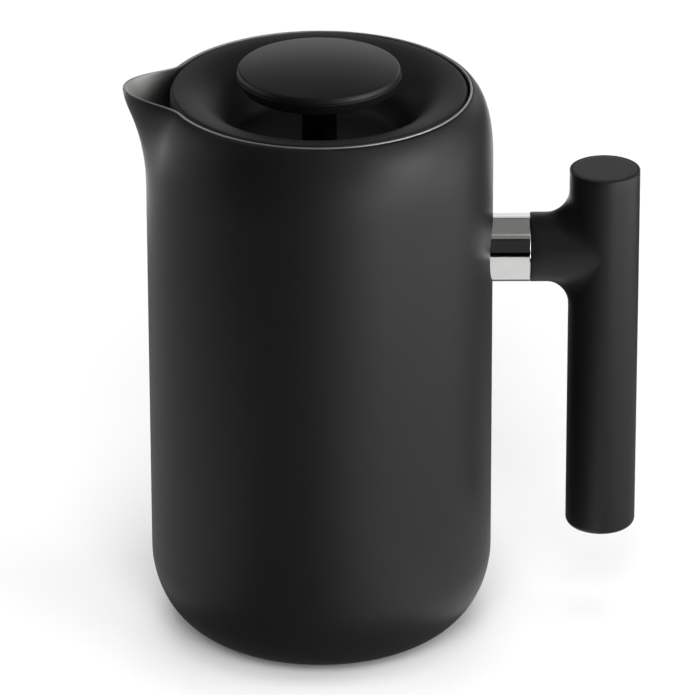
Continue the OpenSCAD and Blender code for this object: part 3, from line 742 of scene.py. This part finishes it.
def filter_spring():
    """The perimeter spring: a close coil bent into a ring."""
    tube_r = (spring_hi.z - spring_lo.z) / 2
    mid_r = spring_hi.x - tube_r
    mid_z = (spring_lo.z + spring_hi.z) / 2
    coil = tube_r - SPRING_WIRE
    turns, per_turn, sides = 170, 14, 6
    count = turns * per_turn
    centres = []
    for i in range(count):
        a = 2 * math.pi * i / count
        b = 2 * math.pi * i / per_turn
        r = mid_r + coil * math.cos(b)
        centres.append(Vector((r * math.cos(a), r * math.sin(a), mid_z + coil * math.sin(b))))
    points = []
    for i, c in enumerate(centres):
        along = (centres[(i + 1) % count] - centres[i - 1]).normalized()
        a = 2 * math.pi * i / count
        out = c - Vector((mid_r * math.cos(a), mid_r * math.sin(a), mid_z))
        out = (out - along * out.dot(along)).normalized()
        across = along.cross(out)
        for k in range(sides):
            t = 2 * math.pi * k / sides
            points.append(c + SPRING_WIRE * (math.cos(t) * out + math.sin(t) * across))
    thing = finish_mesh("perimeter_spring", points, grid_faces(count, sides, True, True), 80)
    return dress(thing, POLISHED, "plunger", "polished_steel", "filter_spring")


# ---------------------------------------------------------------- CAD nodes that keep their shape

KEPT = {
    "liner_base": LINER,
    "base_plate": SHEET,
    "vacuum_plug": SHEET,
    "handle_boss": SHEET,
    "handle_screw": ZINC,
    "handle_washer": ZINC,
    "access_plug": GRIP,
    "lid_seal": RUBBER,
    "strainer_skirt": LID,
    "rod_bush": BRUSHED,
    "rod_wiper": RUBBER,
    "bush_retainer": LID,
    "retainer_screws": ZINC,
    "knob_insert": BRASS,
    "plunger_rod": POLISHED,
    "rod_collar": BRUSHED,
    "filter_top_plate": SHEET,
    "filter_mesh": CLOTH,
    "cross_plate": SHEET,
    "filter_nut": BRUSHED,
}

# ---------------------------------------------------------------- stage

FLOOR_HALF = 6.0
# Between these distances from the press a painted glow on the floor takes over from its panels'
# light
FLOOR_GLOW_RAMP = (0.5, 1.3)
FLOOR_COLOUR = (0.9, 0.9, 0.9, 1)
WHITE = (1, 1, 1, 1)
BLACK = (0, 0, 0, 1)

MIDDLE = Vector((0, 0, 0.09))
SOFTBOX_DISTANCE = 1.6
FLOOR_PANEL_DISTANCE = 1.4

# Studio softboxes: name, azimuth, elevation, width, height, glow
SOFTBOXES = [
    ("key_low", 60, 10, 0.84, 0.56, 4.2),
    ("key_high", 52, 33, 0.9, 0.7, 0.68),
    ("right_low", 92, 10, 0.84, 0.56, 1.12),
    ("right_high", 92, 33, 0.8, 0.7, 0.82),
    ("right_back", 150, 12, 0.84, 0.7, 0.78),
    ("back", 180, 10, 0.84, 0.6, 0.75),
    ("back_high", 178, 30, 0.8, 0.5, 0.28),
    ("back_left", 205, 10, 0.6, 0.6, 0.17),
    ("left_back", 240, 10, 0.84, 0.56, 0.8),
    ("left", 270, 10, 0.84, 0.56, 0.58),
    ("left_high", 265, 33, 0.84, 0.7, 0.27),
    ("top_right", 50, 58, 1.1, 0.7, 0.33),
    ("top_left", 225, 58, 1.1, 0.7, 0.35),
    ("front", 0, 25, 1.2, 1.2, 0.025),
]
# A long strip light above the press: x, height, width, length, glow
TOP_STRIP = (0.07, 1.6, 0.3, 2.6, 0.17)
# A reflector behind the press that whitens the top of the polished ferrule, and lights only it
FERRULE_CARD = ("ferrule_card", 180, 34, 0.8, 0.74, 0.5)

# Cards further out on the floor, facing up: name, x, y, width, length, glow
FAR_CARDS = [
    ("far_front_right", 0.62, -0.6, 0.8, 0.6, 2.9),
    ("far_right", 0.9, 0.0, 1.0, 0.5, 1.6),
    ("far_left_back", -0.62, 0.6, 0.8, 0.6, 2.8),
    ("far_left", -0.9, 0.0, 1.0, 0.5, 0.4),
    ("far_back", 0, 0.7, 0.5, 0.8, 2.6),
]

# The lit ground close to the press, as its sides see it, uppermost first:
# name, x, y, width, length, corner, glow
GROUND = [
    ("ground_strip", 0.064, -0.27, 0.03, 0.66, 0.2, 0.8),
    ("ground_right", 0.19, 0, 0.26, 0.32, 1, 0.38),
    ("ground_front_right", 0.11, -0.14, 0.2, 0.2, 1, 0.42),
    ("ground_left", -0.19, 0.02, 0.26, 0.4, 1, 0.46),
    ("ground_around", 0, 0, 0.6, 0.6, 1, 0.12),
]

# Panels that light only the floor: name, azimuth, elevation, size, glow
FLOOR_PANELS = [
    ("floor_top", 0, 88, 1.2, 1.53),
    ("floor_front", 0, 35, 0.9, 5.6),
    ("floor_right", 90, 35, 0.9, 0.95),
    ("floor_left", 270, 35, 0.9, 0.49),
    ("floor_back", 180, 35, 0.9, 1.54),
]


def stage():
    mesh = bpy.data.meshes.new("floor")
    bm = bmesh.new()
    bmesh.ops.create_grid(bm, x_segments=1, y_segments=1, size=FLOOR_HALF)
    bm.to_mesh(mesh)
    bm.free()
    floor = bpy.data.objects.new("floor", mesh)
    bpy.context.scene.collection.objects.link(floor)
    n = Nodes("pale_floor")
    n.set(Base_Color=FLOOR_COLOUR, Roughness=0.9, Specular_IOR_Level=0.1, Emission_Color=WHITE)
    # Away from the press, where the floor's panels fade, a painted glow keeps the floor white to
    # the horizon
    far = n.tree.nodes.new("ShaderNodeVectorMath")
    far.operation = "LENGTH"
    n.link(n.place, far.inputs[0])
    far_floor_glow = n.spread(far.outputs["Value"], 0.0, 1.0, *FLOOR_GLOW_RAMP)
    n.link(far_floor_glow, n.shader.inputs["Emission Strength"])
    n.material.cycles.emission_sampling = "NONE"
    mesh.materials.append(n.material)
    # The floor is only looked at; what it would throw back comes from the cards and the ground
    floor.visible_glossy = False
    floor.visible_diffuse = False
    return floor


def panel(name, place, aim, width, height, glow):
    """Rectangular area light with an even glow over its face."""
    light = bpy.data.lights.new(name, "AREA")
    light.shape = "RECTANGLE"
    light.size = width
    light.size_y = height
    light.energy = 4 * width * height * glow
    thing = bpy.data.objects.new(name, light)
    bpy.context.scene.collection.objects.link(thing)
    thing.location = place
    thing.rotation_euler = (Vector(aim) - Vector(place)).to_track_quat("-Z", "Y").to_euler()
    return thing


def ground(name, x, y, z, width, length, corner, glow):
    """A faintly glowing patch just under the floor, seen only by what the press reflects.
    Its corner value goes from 1 for an oval towards 0 for a rectangle."""
    steps = 64
    rim = []
    for i in range(steps):
        a = 2 * math.pi * (i + 0.5) / steps
        across = math.copysign(abs(math.cos(a)) ** corner, math.cos(a))
        along = math.copysign(abs(math.sin(a)) ** corner, math.sin(a))
        rim.append((x + width / 2 * across, y + length / 2 * along, z))
    mesh = bpy.data.meshes.new(name)
    mesh.from_pydata(rim, [], [list(range(steps))])
    thing = bpy.data.objects.new(name, mesh)
    bpy.context.scene.collection.objects.link(thing)
    n = Nodes(name + "_glow")
    n.set(Base_Color=BLACK, Specular_IOR_Level=0, Emission_Color=WHITE, Emission_Strength=glow)
    n.material.cycles.emission_sampling = "NONE"
    mesh.materials.append(n.material)
    thing.visible_camera = False
    thing.visible_shadow = False


def around_press(azimuth, elevation, distance):
    """Place on a sphere about the press. Azimuth 0 is the front, 90 is the handle's side."""
    a, e = math.radians(azimuth), math.radians(elevation)
    flat = math.cos(e)
    return MIDDLE + distance * Vector((math.sin(a) * flat, -math.cos(a) * flat, math.sin(e)))


def softbox(name, azimuth, elevation, width, height, glow):
    place = around_press(azimuth, elevation, SOFTBOX_DISTANCE)
    return panel(name, place, MIDDLE, width, height, glow)


def only_for(name, thing):
    """A collection that lets its lights shine on nothing but the given object."""
    lit = bpy.data.collections.new(name)
    lit.objects.link(thing)
    return lit


def lighting(floor, shiny):
    world = bpy.data.worlds.new("studio")
    bpy.context.scene.world = world
    world.use_nodes = True
    world.node_tree.nodes["Background"].inputs["Color"].default_value = WHITE
    world.node_tree.nodes["Background"].inputs["Strength"].default_value = 1.0
    world.cycles_visibility.diffuse = False
    world.cycles_visibility.glossy = False
    for box in SOFTBOXES:
        softbox(*box)
    x, height, width, length, glow = TOP_STRIP
    over = panel("top_strip", (x, 0, height), (x, 0, 0), width, length, glow)
    over.rotation_euler = (0, 0, 0)
    for name, x, y, width, length, glow in FAR_CARDS:
        card = panel(name, (x, y, 1 * MM), (x, y, 1), width, length, glow)
        card.rotation_euler = (math.pi, 0, 0)
        card.visible_camera = False
    for layer, (name, x, y, *rest) in enumerate(GROUND):
        ground(name, x, y, -(1 + layer) * MM, *rest)
    floor_only = only_for("only_the_floor", floor)
    for name, azimuth, elevation, size, glow in FLOOR_PANELS:
        place = around_press(azimuth, elevation, FLOOR_PANEL_DISTANCE)
        light = panel(name, place, MIDDLE, size, size, glow)
        light.light_linking.receiver_collection = floor_only
        light.visible_glossy = False
    card = softbox(*FERRULE_CARD)
    card.light_linking.receiver_collection = only_for("only_the_ferrule", shiny)


# ---------------------------------------------------------------- camera

CAMERA_PITCH = math.radians(24.883)
CAMERA_ROLL = math.radians(-0.178)
CAMERA_LENS = 334.7
# Sideways, towards the front, and above the rim
CAMERA_PLACE = Vector((8.03 * MM, -1742.5 * MM, RIM_Z + 724.7 * MM))


def camera():
    data = bpy.data.cameras.new("camera")
    data.lens = CAMERA_LENS
    data.sensor_width = 36.0
    data.clip_end = 50.0
    thing = bpy.data.objects.new("camera", data)
    bpy.context.scene.collection.objects.link(thing)
    ahead = Vector((0, math.cos(CAMERA_PITCH), -math.sin(CAMERA_PITCH)))
    right = Vector((1, 0, 0))
    up = right.cross(ahead)
    c, s = math.cos(CAMERA_ROLL), math.sin(CAMERA_ROLL)
    axes = Matrix((c * right + s * up, -s * right + c * up, -ahead)).transposed()
    thing.matrix_world = Matrix.Translation(CAMERA_PLACE) @ axes.to_4x4()
    bpy.context.scene.camera = thing
    bpy.context.scene.view_settings.view_transform = "Standard"


def main():
    camera()
    outer_shell()
    inner_liner()
    base_pad()
    shiny = ferrule()
    grip()
    grip_cap()
    lid_cover()
    knob_cap()
    knob_base()
    knob_neck()
    filter_spring()
    for name, material in KEPT.items():
        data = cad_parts[name].data
        data.materials.clear()
        data.materials.append(material)
    lighting(stage(), shiny)


main()
